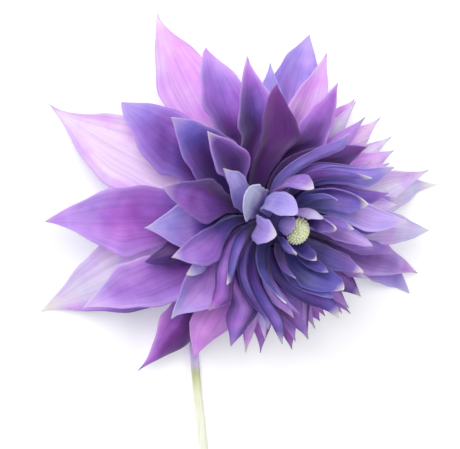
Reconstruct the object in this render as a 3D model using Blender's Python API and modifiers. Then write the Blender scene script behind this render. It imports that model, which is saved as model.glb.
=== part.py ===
"""A double anemone flower, picked with a short bare stem and laid on a table.

The bloom lies on its back with its face up, on the tips of its outer petals, and its neck is bent so that
the cut stem lies flat beside it. Every petal is a thin blade of its own, seated on the side of the
receptacle, the swollen top of the stem. The petals stand in seven whorls, one above the other. Each whorl
follows a surface of revolution of its own, which keeps the blades clear of each other where they overlap.
The bloom leans, and its petals sweep round towards that side, where they crowd together.

Metres, +Z up. The table is z = 0, and the origin lies under the middle of the whole flower.
"""

import math
import random
from collections import namedtuple

import bmesh
import bpy
from mathutils import Matrix, Vector

MM = 0.001

# The petals' blades
BLADE = 0.6 * MM  # thickness
SEAT_GAP = 0.3 * MM  # between a blade's root and the receptacle
SIDE_GAP = 0.6 * MM  # between two blades of one whorl
ROW_LENGTH = 4.6 * MM  # about how long one row of a blade's faces is
FEWEST_ROWS = 6
COLUMNS = 4
CLAW = 0.36  # width at the root, as a share of the widest
WIDEST = 0.5  # the share of its length at which a blade is widest
POINT = 1.4  # above 1, the sides of the point are hollow
FLICK_FROM = 0.62  # the share of its length at which a blade's tip starts to turn
WRAP_LEAST = 3.0 * MM  # the tightest curve that a blade is wrapped to
SLOPE_STEPS = 8  # steps in which the midline is worked out, per row
WELD = 0.01 * MM  # points of one blade that are nearer than this are joined

# The bloom on the table
BLOOM_BASE = Vector((-2.2, 33.2, 13.8)) * MM  # the middle of the lowest whorl
LEAN_BEARING = -25  # degrees from +X: the way in which the bloom leans
SWEEP = 0.45  # the share of their width that the blades on that side keep, as the others crowd towards them
SWEEP_FROM, SWEEP_TO = 5.0 * MM, 18.0 * MM  # the distances from the axis over which the blades turn that way
PRESS_SOFTNESS = 0.5 * MM  # how gently a blade bends where it meets the table

# What tells the petals of one whorl apart, drawn at random within these limits
TWIST = 7  # degrees
FLICK = 14  # degrees
WAVE = 0.35 * MM  # height of the waves of a blade's sides
WAVES = 1.5  # along one blade
SEED = 11

# A petal: the bearing of its root (degrees), its length and width (mm), and how far round the axis its point
# swings (degrees)
Petal = namedtuple("Petal", "bearing length width swing", defaults=(0,))

# A whorl: the lean of its axis from straight up, its rise above the whorl below, the radius and the slope at
# which its blades start, how far they bend down in each millimetre, and how high their sides stand, as a
# share of their half width (degrees and millimetres)
Whorl = namedtuple("Whorl", "name colour lean rise seat start droop cup petals")

GUARD_PETALS = (
    Petal(30, 43.5, 10),
    Petal(84, 26.5, 9),
    Petal(106, 32, 10),
    Petal(137, 37.5, 14, -5),
    Petal(154.5, 39, 17, -4),
    Petal(179, 39.5, 17),
    Petal(198, 33, 11),
    Petal(234, 24, 9),
    Petal(274, 24, 9),
    Petal(346, 42.5, 8.5, -8),
)
OUTER_PETALS = (
    Petal(38, 38, 9),
    Petal(73, 27.5, 9),
    Petal(104, 28, 10),
    Petal(132, 27.5, 12),
    Petal(148, 29, 14),
    Petal(166, 35.5, 16),
    Petal(179, 32, 13),
    Petal(205, 24, 9),
    Petal(248, 24, 8),
    Petal(293, 26, 8),
    Petal(341, 41.5, 9),
)
BROAD_PETALS = (
    Petal(60, 25.5, 9),
    Petal(101, 23.5, 9),
    Petal(128, 25.5, 10),
    Petal(146, 23.5, 12),
    Petal(166, 20, 12),
    Petal(188, 20.5, 11),
    Petal(211, 19.5, 8),
    Petal(254, 21.5, 8),
    Petal(306, 23.5, 8),
    Petal(8, 35.5, 9),
)
MIDDLE_PETALS = (
    Petal(127, 22.5, 11),
    Petal(145, 22, 9.5),
    Petal(157, 24.5, 10.5),
    Petal(170, 20, 10),
    Petal(189, 16.5, 9.5),
    Petal(219, 14.5, 9),
    Petal(272, 14.5, 9),
    Petal(33, 21.5, 9.5),
    Petal(92, 18, 9.5, -12),
)
INNER_PETALS = (
    Petal(30, 21, 7.5),
    Petal(74, 20, 7.5),
    Petal(107, 18, 7),
    Petal(149, 11.5, 12),
    Petal(177, 17, 7.5),
    Petal(212, 19, 7.5),
    Petal(262, 17.5, 7.5),
)
HEART_PETALS = (
    Petal(46, 14, 8.5),
    Petal(128, 18, 8.5),
    Petal(145, 18.5, 8.5),
    Petal(162, 16.5, 8.5),
    Petal(212, 15, 8),
    Petal(288, 15, 8.5),
)
BUD_PETALS = (
    Petal(20, 8, 4.6),
    Petal(92, 8.5, 5),
    Petal(152, 5.5, 5),
    Petal(212, 6.5, 4.6),
    Petal(285, 6.5, 4.6),
)

WHORLS = (
    Whorl("guard_petal", "pale_lilac", 0, 0.0, 6.4, -9, 0.70, 0.10, GUARD_PETALS),
    Whorl("outer_petal", "lilac", 5, 2.0, 6.2, -1, 0.70, 0.14, OUTER_PETALS),
    Whorl("broad_petal", "violet", 9, 2.0, 5.9, 8, 0.70, 0.18, BROAD_PETALS),
    Whorl("middle_petal", "violet", 13, 2.1, 5.4, 18, 0.50, 0.24, MIDDLE_PETALS),
    Whorl("inner_petal", "deep_violet", 16, 2.1, 4.8, 28, -0.4, 0.24, INNER_PETALS),
    Whorl("heart_petal", "deep_violet", 18, 2.1, 4.1, 10, -5.6, 0.16, HEART_PETALS),
    Whorl("bud_petal", "deep_violet", 20, 2.0, 3.3, 62, -5.0, 0.08, BUD_PETALS),
)

# The stem: the middle of its section, seen from the bloom's base and above the table, and its radius there
STEM_POINTS = (
    ((1.3, -104.0, 1.1), 1.05),
    ((-1.8, -85.0, 1.05), 1.0),
    ((-4.4, -62.0, 1.0), 0.95),
    ((-6.2, -45.0, 0.97), 0.92),
    ((-7.4, -33.0, 0.95), 0.9),
    ((-8.0, -23.0, 1.2), 0.9),
    ((-7.6, -13.0, 2.6), 0.9),
    ((-5.6, -5.5, 5.4), 1.0),
    ((-2.4, -1.2, 8.6), 1.5),
)
RECEPTACLE_FOOT = 2.2 * MM  # from the receptacle's widest place down to the neck
RECEPTACLE_FOOT_RADIUS = 3.6 * MM
RECEPTACLE_TOP = 0.9 * MM  # from the highest whorl up to the carpels' seat
RECEPTACLE_TOP_RADIUS = 2.4 * MM
STEM_SIDES = 4  # a curve's bevel resolution
STEM_SMOOTHNESS = 4  # segments between two of its points

# The carpels: a low dome of small green pistils on top of the receptacle
CARPEL_RADIUS = 2.5 * MM
CARPEL_HEIGHT = 2.4 * MM
CARPEL_COUNT = 26
CARPEL_RELIEF = 0.2  # as a share of the radius
CARPEL_SPREAD = 0.26  # how broad one pistil is, in radians
CARPEL_FOOT = 0.2 * CARPEL_HEIGHT  # how far below the sphere's middle the dome is cut
CARPEL_LEVELS = 0.95  # the share of the height over which the pistils are spread
CARPEL_FINENESS = 3  # subdivisions of the sphere
GOLDEN_ANGLE = math.pi * (3 - math.sqrt(5))

RIM_ANGLE = math.radians(50)  # edges sharper than this are shaded as edges

# Linear colour and roughness of each finish
COLOURS = {
    "pale_lilac": ((0.66, 0.44, 0.86), 0.55),
    "lilac": ((0.50, 0.28, 0.74), 0.55),
    "violet": ((0.30, 0.14, 0.55), 0.5),
    "deep_violet": ((0.12, 0.06, 0.33), 0.5),
    "stem_green": ((0.60, 0.68, 0.38), 0.6),
    "carpel_green": ((0.68, 0.74, 0.34), 0.6),
}


class Ring:
    """The frame of one whorl: where its axis is, and which way it points."""

    def __init__(self, centre, lean):
        level = math.radians(LEAN_BEARING)
        hinge = Vector((-math.sin(level), math.cos(level), 0))
        self.centre = centre
        self.turn = Matrix.Rotation(math.radians(lean), 3, hinge)
        self.axis = self.turn @ Vector((0, 0, 1))

    def outward(self, bearing):
        return self.turn @ Vector((math.cos(bearing), math.sin(bearing), 0))


def rings_of(whorls):
    """Each whorl's ring, stacked along an axis that leans further from ring to ring."""
    rings = []
    centre = BLOOM_BASE.copy()
    axis = Vector((0, 0, 1))
    for whorl in whorls:
        centre = centre + axis * whorl.rise * MM
        rings.append(Ring(centre, whorl.lean))
        axis = rings[-1].axis
    return rings


def half_width(along, width):
    """Half a blade's width at a share of its length: a narrow claw, a broad middle and a drawn-out point."""
    if along < WIDEST:
        return width / 2 * (CLAW + (1 - CLAW) * math.sin(math.pi / 2 * along / WIDEST))
    return width / 2 * max(0.0, math.cos(math.pi / 2 * (along - WIDEST) / (1 - WIDEST))) ** POINT


def midline(whorl, length, flick, rows):
    """How far out, how high and how steep a blade's middle is, at the start of each row of faces."""
    steps = rows * SLOPE_STEPS
    out, up = whorl.seat * MM, 0.0
    line = []
    for i in range(steps + 1):
        along = i / steps
        turned = flick * max(0.0, (along - FLICK_FROM) / (1 - FLICK_FROM)) ** 2
        slope = math.radians(whorl.start - whorl.droop * along * length / MM + turned)
        if i % SLOPE_STEPS == 0:
            line.append((out, up, slope))
        out += length / steps * math.cos(slope)
        up += length / steps * math.sin(slope)
    return line


def pressed(height):
    """The height of a blade's middle once it bends softly along the table instead of passing through it."""
    lowest = BLADE / 2
    above = height - lowest
    return lowest + (above + math.sqrt(above * above + PRESS_SOFTNESS * PRESS_SOFTNESS / 4)) / 2


def sweep_share(out):
    """How much of its width a blade on the leaning side keeps, at a distance from the axis."""
    reach = min(1.0, max(0.0, (out - SWEEP_FROM) / (SWEEP_TO - SWEEP_FROM)))
    return 1 - (1 - SWEEP) * reach * reach * (3 - 2 * reach)


def swept(bearing, out):
    """The bearing once the blades sweep round towards the side that the bloom leans to, more the further out."""
    half_turn = (bearing - math.radians(LEAN_BEARING)) / 2
    turned = math.atan2(sweep_share(out) * math.sin(half_turn), math.cos(half_turn))
    return math.radians(LEAN_BEARING) + 2 * turned


def spread(bearing, out):
    """How much wider or narrower the sweep makes a blade at this bearing."""
    half_turn = (bearing - math.radians(LEAN_BEARING)) / 2
    share = sweep_share(out)
    return share / (math.cos(half_turn) ** 2 + (share * math.sin(half_turn)) ** 2)


def rooms_of(petals):
    """How far round the axis each petal may reach on its right and its left before it meets a neighbour."""
    around = sorted(range(len(petals)), key=lambda i: petals[i].bearing % 360)
    rooms = {i: [0.0, 0.0] for i in around}
    for here, beyond in zip(around, around[1:] + around[:1]):
        between = math.radians((petals[beyond].bearing - petals[here].bearing) % 360)
        share = petals[here].width / (petals[here].width + petals[beyond].width)
        rooms[here][1] = between * share
        rooms[beyond][0] = between * (1 - share)
    return rooms


def blade_surface(whorl, ring, petal, room, draw):
    """A blade's middle surface, as a grid of triangles that is bent into shape and closed at its point."""
    root, length, width = math.radians(petal.bearing), petal.length * MM, petal.width * MM
    twist = math.radians(draw.uniform(-TWIST, TWIST))
    flick = draw.uniform(-FLICK, FLICK)
    phase = draw.uniform(0, 2 * math.pi)
    rows = max(FEWEST_ROWS, round(length / ROW_LENGTH))
    line = midline(whorl, length, flick, rows)

    mesh = bmesh.new()
    bmesh.ops.create_grid(mesh, x_segments=rows, y_segments=COLUMNS, size=1)
    for vertex in mesh.verts:
        along, side = (vertex.co.x + 1) / 2, vertex.co.y
        out, up, slope = line[round(along * rows)]
        radius = max(out, WRAP_LEAST)
        edge = room[side > 0]
        beyond = spread(root + math.copysign(edge, side), out)
        arc = radius * spread(root, out)
        half = min(half_width(along, width), (edge - SIDE_GAP / 2 / (radius * beyond)) * arc)
        wave = math.sin(2 * math.pi * WAVES * along + phase + side)
        rise = whorl.cup * half * side * side * math.sin(math.pi * along)
        rise += half * side * math.sin(twist) * along
        rise += WAVE * half / width * side * side * wave
        bearing = swept(root + side * half / arc, out) + math.radians(petal.swing) * along * along
        outward = ring.outward(bearing)
        face = ring.axis * math.cos(slope) - outward * math.sin(slope)
        point = ring.centre + outward * out + ring.axis * up + face * rise
        point.z = pressed(point.z)
        vertex.co = point
    bmesh.ops.remove_doubles(mesh, verts=mesh.verts, dist=WELD)
    bmesh.ops.recalc_face_normals(mesh, faces=mesh.faces)
    bmesh.ops.triangulate(mesh, faces=mesh.faces, quad_method="ALTERNATE")
    return mesh


def make_blade(name, surface, colour, collection):
    """A petal: its middle surface, given its thickness half on each side."""
    mesh = bpy.data.meshes.new(name)
    surface.to_mesh(mesh)
    surface.free()
    blade = bpy.data.objects.new(name, mesh)
    collection.objects.link(blade)
    thickness = blade.modifiers.new("thickness", "SOLIDIFY")
    thickness.thickness = BLADE
    thickness.offset = 0
    finish(blade, colour)


def finish(obj, colour):
    """The object's own material, and on a mesh smooth shading over all but its rim."""
    rgb, roughness = COLOURS[colour]
    material = bpy.data.materials.new(obj.name)
    material.use_nodes = True
    shader = material.node_tree.nodes["Principled BSDF"]
    shader.inputs["Base Color"].default_value = (*rgb, 1)
    shader.inputs["Roughness"].default_value = roughness
    shader.inputs["Metallic"].default_value = 0.0
    obj.data.materials.clear()
    obj.data.materials.append(material)
    if obj.type == "MESH":
        obj.data.shade_smooth()
        obj.data.set_sharp_from_angle(angle=RIM_ANGLE)


def make_petals(rings, collection):
    draw = random.Random(SEED)
    for whorl, ring in zip(WHORLS, rings):
        rooms = rooms_of(whorl.petals)
        for number, petal in enumerate(whorl.petals):
            surface = blade_surface(whorl, ring, petal, rooms[number], draw)
            make_blade(f"{whorl.name}_{number + 1:02d}", surface, whorl.colour, collection)


def make_stem(rings, collection):
    """The stem, its bent neck and the receptacle, which grew as one piece: a tube of changing radius."""
    places = []
    ground = Vector((BLOOM_BASE.x, BLOOM_BASE.y, 0))
    for point, radius in STEM_POINTS:
        places.append((ground + Vector(point) * MM, radius * MM))
    places.append((rings[0].centre - rings[0].axis * RECEPTACLE_FOOT, RECEPTACLE_FOOT_RADIUS))
    for whorl, ring in zip(WHORLS, rings):
        root = BLADE / 2 * abs(math.sin(math.radians(whorl.start)))
        places.append((ring.centre, whorl.seat * MM - root - SEAT_GAP))
    top = rings[-1]
    places.append((top.centre + top.axis * RECEPTACLE_TOP, RECEPTACLE_TOP_RADIUS))

    curve = bpy.data.curves.new("stem", "CURVE")
    curve.dimensions = "3D"
    curve.bevel_depth = 1.0
    curve.bevel_resolution = STEM_SIDES
    curve.use_fill_caps = True
    spline = curve.splines.new("BEZIER")
    spline.bezier_points.add(len(places) - 1)
    spline.resolution_u = STEM_SMOOTHNESS
    for point, (place, radius) in zip(spline.bezier_points, places):
        point.co = place
        point.radius = radius
        point.handle_left_type = "AUTO"
        point.handle_right_type = "AUTO"
    stem = bpy.data.objects.new("stem", curve)
    collection.objects.link(stem)
    finish(stem, "stem_green")


def make_carpels(ring, collection):
    """The dome of pistils: a sphere raised at points that follow the golden angle, as they grow."""
    tips = []
    for i in range(CARPEL_COUNT):
        level = 1 - CARPEL_LEVELS * (i + 0.5) / CARPEL_COUNT
        across = math.sqrt(1 - level * level)
        bearing = i * GOLDEN_ANGLE
        tips.append(Vector((across * math.cos(bearing), across * math.sin(bearing), level)))
    mesh = bmesh.new()
    bmesh.ops.create_icosphere(mesh, subdivisions=CARPEL_FINENESS, radius=1)
    for vertex in mesh.verts:
        direction = vertex.co.normalized()
        nearest = min(direction.angle(tip) for tip in tips)
        swell = 1 + CARPEL_RELIEF * math.exp(-((nearest / CARPEL_SPREAD) ** 2))
        vertex.co = direction * swell * CARPEL_RADIUS
        vertex.co.z *= CARPEL_HEIGHT / CARPEL_RADIUS
    whole = mesh.verts[:] + mesh.edges[:] + mesh.faces[:]
    below, down = (0, 0, -CARPEL_FOOT), (0, 0, -1)
    cut = bmesh.ops.bisect_plane(mesh, geom=whole, plane_co=below, plane_no=down, clear_outer=True)
    rim = [edge for edge in cut["geom_cut"] if isinstance(edge, bmesh.types.BMEdge)]
    bmesh.ops.contextual_create(mesh, geom=rim)
    middle = ring.centre + ring.axis * (RECEPTACLE_TOP + SEAT_GAP + CARPEL_FOOT)
    place = Matrix.Translation(middle) @ ring.turn.to_4x4()
    bmesh.ops.transform(mesh, matrix=place, verts=mesh.verts)
    bmesh.ops.triangulate(mesh, faces=mesh.faces)
    bmesh.ops.recalc_face_normals(mesh, faces=mesh.faces)
    data = bpy.data.meshes.new("carpels")
    mesh.to_mesh(data)
    mesh.free()
    carpels = bpy.data.objects.new("carpels", data)
    collection.objects.link(carpels)
    finish(carpels, "carpel_green")


def main():
    for obj in list(bpy.data.objects):
        bpy.data.objects.remove(obj)
    collection = bpy.data.collections.new("anemone_flower")
    bpy.context.scene.collection.children.link(collection)
    rings = rings_of(WHORLS)
    make_stem(rings, collection)
    make_petals(rings, collection)
    make_carpels(rings[-1], collection)


main()
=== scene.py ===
# %% [markdown]
# # A double anemone, picked and laid on a table
#
# This lesson dresses one bloom: a double violet anemone on a short bare stem, lying on its back with its
# face up and seen from above. The plain solids come first: the stem, each petal, and the carpels in the
# middle. Each finer piece below is worked out from the numbers of the solid that it stands for, so that none
# of them drifts.

# %% Load the plain solids and measure them
import math
import random
from collections import namedtuple

import bpy
from mathutils import Matrix, Vector


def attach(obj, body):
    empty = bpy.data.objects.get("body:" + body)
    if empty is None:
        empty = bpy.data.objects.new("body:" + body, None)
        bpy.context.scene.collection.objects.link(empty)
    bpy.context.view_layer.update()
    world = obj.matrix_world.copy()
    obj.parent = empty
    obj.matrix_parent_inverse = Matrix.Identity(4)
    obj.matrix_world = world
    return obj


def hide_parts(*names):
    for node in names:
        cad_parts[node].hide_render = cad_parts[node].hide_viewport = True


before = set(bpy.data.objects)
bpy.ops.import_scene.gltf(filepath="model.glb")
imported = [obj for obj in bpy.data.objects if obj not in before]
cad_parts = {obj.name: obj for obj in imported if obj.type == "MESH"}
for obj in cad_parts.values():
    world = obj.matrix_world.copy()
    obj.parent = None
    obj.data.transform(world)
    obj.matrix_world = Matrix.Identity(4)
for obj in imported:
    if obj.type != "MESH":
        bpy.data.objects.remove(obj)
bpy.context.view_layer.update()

MM = 0.001


def in_mm(place):
    return [round(number / MM, 1) for number in place]


print("solids:", len(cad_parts))

# %% [markdown]
# ## Where the petals grow
#
# A double anemone has many more petals than a wild one. They grow from the sides of the receptacle, the
# swollen top of the stem, in rings that are called whorls. Here there are seven, one above the other. The
# lowest ones are the longest and bend down to the table, and the highest ones stand up round the middle.
# The numbers of the solids are repeated here, because a petal that is worked out from the same numbers lies
# exactly where its solid lies, however fine its own mesh is.

# %% The whorls and their petals
# A petal's bearing in degrees, its length and width in mm, and how many degrees its tip swings round
Petal = namedtuple("Petal", "bearing length width swing", defaults=(0,))
# A whorl's lean in degrees, its rise above the last whorl and the radius of its seat in mm, the slope that
# its petals start with in degrees, how much of that they lose with each mm, and how deeply they are cupped
Whorl = namedtuple("Whorl", "name lean rise seat start droop cup petals")

BLOOM_BASE = Vector((-2.2, 33.2, 13.8)) * MM
LEAN_BEARING = -25

GUARD_PETALS = (
    Petal(30, 43.5, 10), Petal(84, 26.5, 9), Petal(106, 32, 10), Petal(137, 37.5, 14, -5),
    Petal(154.5, 39, 17, -4), Petal(179, 39.5, 17), Petal(198, 33, 11), Petal(234, 24, 9),
    Petal(274, 24, 9), Petal(346, 42.5, 8.5, -8),
)
OUTER_PETALS = (
    Petal(38, 38, 9), Petal(73, 27.5, 9), Petal(104, 28, 10), Petal(132, 27.5, 12), Petal(148, 29, 14),
    Petal(166, 35.5, 16), Petal(179, 32, 13), Petal(205, 24, 9), Petal(248, 24, 8), Petal(293, 26, 8),
    Petal(341, 41.5, 9),
)
BROAD_PETALS = (
    Petal(60, 25.5, 9), Petal(101, 23.5, 9), Petal(128, 25.5, 10), Petal(146, 23.5, 12), Petal(166, 20, 12),
    Petal(188, 20.5, 11), Petal(211, 19.5, 8), Petal(254, 21.5, 8), Petal(306, 23.5, 8), Petal(8, 35.5, 9),
)
MIDDLE_PETALS = (
    Petal(127, 22.5, 11), Petal(145, 22, 9.5), Petal(157, 24.5, 10.5), Petal(170, 20, 10),
    Petal(189, 16.5, 9.5), Petal(219, 14.5, 9), Petal(272, 14.5, 9), Petal(33, 21.5, 9.5),
    Petal(92, 18, 9.5, -12),
)
INNER_PETALS = (
    Petal(30, 21, 7.5), Petal(74, 20, 7.5), Petal(107, 18, 7), Petal(149, 11.5, 12), Petal(177, 17, 7.5),
    Petal(212, 19, 7.5), Petal(262, 17.5, 7.5),
)
HEART_PETALS = (
    Petal(46, 14, 8.5), Petal(128, 18, 8.5), Petal(145, 18.5, 8.5), Petal(162, 16.5, 8.5), Petal(212, 15, 8),
    Petal(288, 15, 8.5),
)
BUD_PETALS = (
    Petal(20, 8, 4.6), Petal(92, 8.5, 5), Petal(152, 5.5, 5), Petal(212, 6.5, 4.6), Petal(285, 6.5, 4.6),
)
WHORLS = (
    Whorl("guard_petal", 0, 0.0, 6.4, -9, 0.70, 0.10, GUARD_PETALS),
    Whorl("outer_petal", 5, 2.0, 6.2, -1, 0.70, 0.14, OUTER_PETALS),
    Whorl("broad_petal", 9, 2.0, 5.9, 8, 0.70, 0.18, BROAD_PETALS),
    Whorl("middle_petal", 13, 2.1, 5.4, 18, 0.50, 0.24, MIDDLE_PETALS),
    Whorl("inner_petal", 16, 2.1, 4.8, 28, -0.4, 0.24, INNER_PETALS),
    Whorl("heart_petal", 18, 2.1, 4.1, 10, -5.6, 0.16, HEART_PETALS),
    Whorl("bud_petal", 20, 2.0, 3.3, 62, -5.0, 0.08, BUD_PETALS),
)
print("whorls:", len(WHORLS), "petals:", sum(len(whorl.petals) for whorl in WHORLS))

# %% [markdown]
# ## The leaning axis
#
# The bloom doesn't face straight up. It leans to the lower right, and each whorl leans a little further than
# the one below it. So each whorl gets a ring of its own: a middle, and a turn that tips the ring over. Away
# from the axis the petals also sweep round towards the leaning side, where they crowd together and are seen
# edge on, while those of the other side spread wide and show their faces.

# %% Rings, and the sweep towards the leaning side
# How narrow the sweep leaves the back of the bloom, and how far out it begins and is complete
SWEEP = 0.45
SWEEP_FROM, SWEEP_TO = 5.0 * MM, 18.0 * MM


class Ring:
    """The frame of one whorl: where its axis is, and which way it points."""

    def __init__(self, centre, lean):
        level = math.radians(LEAN_BEARING)
        hinge = Vector((-math.sin(level), math.cos(level), 0))
        self.centre = centre
        self.turn = Matrix.Rotation(math.radians(lean), 3, hinge)
        self.axis = self.turn @ Vector((0, 0, 1))

    def outward(self, bearing):
        return self.turn @ Vector((math.cos(bearing), math.sin(bearing), 0))


def rings_of(whorls):
    """Each whorl's ring, stacked along an axis that leans further from ring to ring."""
    rings = []
    centre = BLOOM_BASE.copy()
    axis = Vector((0, 0, 1))
    for whorl in whorls:
        centre = centre + axis * whorl.rise * MM
        rings.append(Ring(centre, whorl.lean))
        axis = rings[-1].axis
    return rings


def sweep_share(out):
    reach = min(1.0, max(0.0, (out - SWEEP_FROM) / (SWEEP_TO - SWEEP_FROM)))
    return 1 - (1 - SWEEP) * reach * reach * (3 - 2 * reach)


def swept(bearing, out):
    """The bearing once the petals sweep round, more the further out."""
    half_turn = (bearing - math.radians(LEAN_BEARING)) / 2
    turned = math.atan2(sweep_share(out) * math.sin(half_turn), math.cos(half_turn))
    return math.radians(LEAN_BEARING) + 2 * turned


def spread(bearing, out):
    """How much wider or narrower the sweep makes a petal at this bearing."""
    half_turn = (bearing - math.radians(LEAN_BEARING)) / 2
    share = sweep_share(out)
    return share / (math.cos(half_turn) ** 2 + (share * math.sin(half_turn)) ** 2)


rings = rings_of(WHORLS)
for whorl, ring in zip(WHORLS, rings):
    print(whorl.name, "ring at", in_mm(ring.centre), "leans", whorl.lean)

# %% [markdown]
# ## A petal blank
#
# All petals have the same build: a narrow claw at the root, a broad middle, a point, a channel along the
# middle and fine ribs. So one blank is modelled, flat and two units long and wide, and copied. It is a grid,
# because a grid brings a map that runs from root to tip and from side to side, which the finishes need for
# their veins. The channel is pressed in by moving the middle line down with a soft falloff.

# %% Model the blank
ROWS = 56
COLUMNS = 16
CHANNEL = 1.0


def object_mode():
    bpy.ops.object.mode_set(mode="OBJECT")


def select_only(pieces):
    bpy.ops.object.select_all(action="DESELECT")
    for piece in pieces:
        piece.select_set(True)
    bpy.context.view_layer.objects.active = pieces[0]


def edit_all():
    bpy.ops.object.mode_set(mode="EDIT")
    bpy.ops.mesh.select_all(action="SELECT")


def merge_points(distance):
    edit_all()
    bpy.ops.mesh.remove_doubles(threshold=distance)


def copy_of(model, name):
    copy = bpy.data.objects.new(name, model.data.copy())
    bpy.context.scene.collection.objects.link(copy)
    return copy


def make_petal_blank():
    bpy.ops.mesh.primitive_grid_add(x_subdivisions=ROWS, y_subdivisions=COLUMNS, size=2)
    blank = bpy.context.object
    blank.name = "petal_blank"
    blank.data.uv_layers[0].name = "petal"
    bpy.ops.object.mode_set(mode="EDIT")
    bpy.ops.mesh.select_all(action="DESELECT")
    object_mode()
    for vertex in blank.data.vertices:
        vertex.select = abs(vertex.co.y) < 0.001
    bpy.ops.object.mode_set(mode="EDIT")
    bpy.ops.mesh.select_mode(type="VERT")
    bpy.ops.transform.translate(
        value=(0, 0, -CHANNEL),
        use_proportional_edit=True,
        proportional_edit_falloff="SMOOTH",
        proportional_size=1.0,
    )
    object_mode()
    return blank


petal_blank = make_petal_blank()
channel_depth = -min(vertex.co.z for vertex in petal_blank.data.vertices)
print("blank:", len(petal_blank.data.vertices), "points, channel", round(channel_depth, 2), "deep")

# %% [markdown]
# ## Wrapping a blank onto its whorl
#
# A real petal is curved along its length, cupped across it, and a little waved and twisted, and no two are
# alike. Each whorl follows a surface of revolution, so a petal's midline is worked out once per row, and its
# points are laid round that surface. This is done point by point in code, because no operator bends a mesh
# along two curves at once. The petal is then given its thickness, a quarter of a millimetre, which is about
# as thin as a real one.

# %% The shape of one petal
BLADE = 0.24 * MM
SOLID_BLADE = 0.6 * MM
SIDE_GAP = 0.3 * MM
# How wide the claw is for a petal one wide, and how far along the petal is widest
CLAW = 0.36
WIDEST = 0.5
# The most that a petal twists and that its tip flicks, in degrees, and where the flick begins
TWIST, FLICK, FLICK_FROM = 7, 14, 0.62
WAVE, WAVES = 0.35 * MM, 1.5
# Inside this distance from the axis, the petals aren't wrapped any tighter
WRAP_LEAST = 3.0 * MM
PRESS_SOFTNESS = 0.5 * MM
RIB, RIB_COLUMNS = 0.05 * MM, 4
# Nicks in the edge, finer ones between them, and the most that the two waves add up to
NICK, NICKS = 0.05, 2.3
FINE_NICK, FINE_NICKS, NICK_TOP = 0.6, 2.4, 1.6
# The channel and the ribs begin beyond the root and end before the tip
BODY_RISE, BODY_FALL = 2.2, 4
FOLD_LEVEL, FOLD_NARROWS, CURL = 0.45, 0.4, 0.12
# Points of the blank that come closer than this at the tip become one
TIP_MERGE = 0.004 * MM

# How a petal looks, apart from its place: how deep and how magenta its colour is, how deep its channel is
# (below 0 it stands up as a ridge), how pale its tip is, how dark its left side is (below 0 its right side,
# both seen from its root), how dark its middle and its root are (below 0 they are paler), how bluish it
# turns towards the tip, how hollow its point is, how much more so on the left (below 0 on the right), how
# much wider the petal is, and how far its sides curl up. The dark side, middle and root are painted shade
# from neighbouring petals and hollows, and the paler ones a painted highlight, both partly the petal's own
# colour; the pale tip is partly a painted glint.
LOOK_PARTS = "tone warmth fold tip side_shade middle_shade root_shade cool point lopsided wider curl"
Look = namedtuple("Look", LOOK_PARTS)


def half_width(along, width, point):
    if along < WIDEST:
        return width / 2 * (CLAW + (1 - CLAW) * math.sin(math.pi / 2 * along / WIDEST))
    return width / 2 * max(0.0, math.cos(math.pi / 2 * (along - WIDEST) / (1 - WIDEST))) ** point


def midline(whorl, length, flick):
    """How far out, how high and how steep a petal's middle is, at the start of each row."""
    out, up = whorl.seat * MM, 0.0
    line = []
    for i in range(ROWS + 1):
        along = i / ROWS
        turned = flick * max(0.0, (along - FLICK_FROM) / (1 - FLICK_FROM)) ** 2
        slope = math.radians(whorl.start - whorl.droop * along * length / MM + turned)
        line.append((out, up, slope))
        out += length / ROWS * math.cos(slope)
        up += length / ROWS * math.sin(slope)
    return line


def pressed(height):
    """The height of a petal's middle once it bends softly along the table."""
    lowest = SOLID_BLADE / 2
    above = height - lowest
    return lowest + (above + math.sqrt(above * above + PRESS_SOFTNESS * PRESS_SOFTNESS / 4)) / 2


def rooms_of(petals):
    """How far round the axis each petal may reach before it meets a neighbour."""
    around = sorted(range(len(petals)), key=lambda i: petals[i].bearing % 360)
    rooms = {i: [0.0, 0.0] for i in around}
    for here, beyond in zip(around, around[1:] + around[:1]):
        between = math.radians((petals[beyond].bearing - petals[here].bearing) % 360)
        share = petals[here].width / (petals[here].width + petals[beyond].width)
        rooms[here][1] = between * share
        rooms[beyond][0] = between * (1 - share)
    return rooms


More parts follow.
